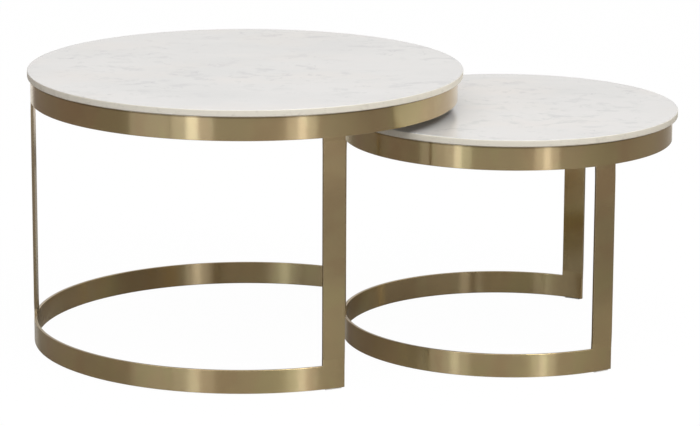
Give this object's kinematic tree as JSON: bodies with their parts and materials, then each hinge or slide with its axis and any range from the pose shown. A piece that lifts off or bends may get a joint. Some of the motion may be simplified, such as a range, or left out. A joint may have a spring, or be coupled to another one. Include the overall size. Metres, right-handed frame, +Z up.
{
  "type": "nesting tables",
  "caption": "Round nesting coffee tables: marble discs on brushed brass hoops, with flat-bar legs and C-shaped bases, the small one sliding under the large.",
  "frame": {"origin": "on the floor, under the middle of the bounding box of the two tables in their overlapped rest position", "axes": "+Z up; +X from the closed side of the large table's base arc to its open side, towards the small table; -Y is the front"},
  "size_m": [1.123, 0.75, 0.48],
  "materials": {
    "marble": "honed and polished white marble with faint grey veins",
    "brass": "brushed antique brass, satin",
    "zinc_steel": "zinc plated screw steel",
    "insert_brass": "turned, unplated brass",
    "rubber": "matt black rubber",
    "nylon": "matt translucent grey nylon"
  },
  "bodies": {
    "large_table": {"large_marble_top": "marble", "large_top_ring": "brass", "large_base_arc": "brass", "large_leg_closed_side": "brass", "large_leg_front_end": "brass", "large_leg_back_end": "brass", "large_glide_closed_side": "nylon", "large_glide_front_end": "nylon", "large_glide_back_end": "nylon", "large_top_bracket_1": "brass", "large_bumper_1": "rubber", "large_top_screw_1": "zinc_steel", "large_threaded_insert_1": "insert_brass", "large_top_bracket_2": "brass", "large_bumper_2": "rubber", "large_top_screw_2": "zinc_steel", "large_threaded_insert_2": "insert_brass", "large_top_bracket_3": "brass", "large_bumper_3": "rubber", "large_top_screw_3": "zinc_steel", "large_threaded_insert_3": "insert_brass", "large_top_bracket_4": "brass", "large_bumper_4": "rubber", "large_top_screw_4": "zinc_steel", "large_threaded_insert_4": "insert_brass"},
    "small_table": {"small_marble_top": "marble", "small_top_ring": "brass", "small_base_arc": "brass", "small_leg_closed_side": "brass", "small_leg_front_end": "brass", "small_leg_back_end": "brass", "small_glide_closed_side": "nylon", "small_glide_front_end": "nylon", "small_glide_back_end": "nylon", "small_top_bracket_1": "brass", "small_bumper_1": "rubber", "small_top_screw_1": "zinc_steel", "small_threaded_insert_1": "insert_brass", "small_top_bracket_2": "brass", "small_bumper_2": "rubber", "small_top_screw_2": "zinc_steel", "small_threaded_insert_2": "insert_brass", "small_top_bracket_3": "brass", "small_bumper_3": "rubber", "small_top_screw_3": "zinc_steel", "small_threaded_insert_3": "insert_brass", "small_top_bracket_4": "brass", "small_bumper_4": "rubber", "small_top_screw_4": "zinc_steel", "small_threaded_insert_4": "insert_brass"}
  },
  "joints": [
    {"name": "nesting_slide", "type": "slide", "parent": "large_table", "child": "small_table", "axis": [1, 0, 0], "range_m": [-0.521, 0.22]}
  ]
}
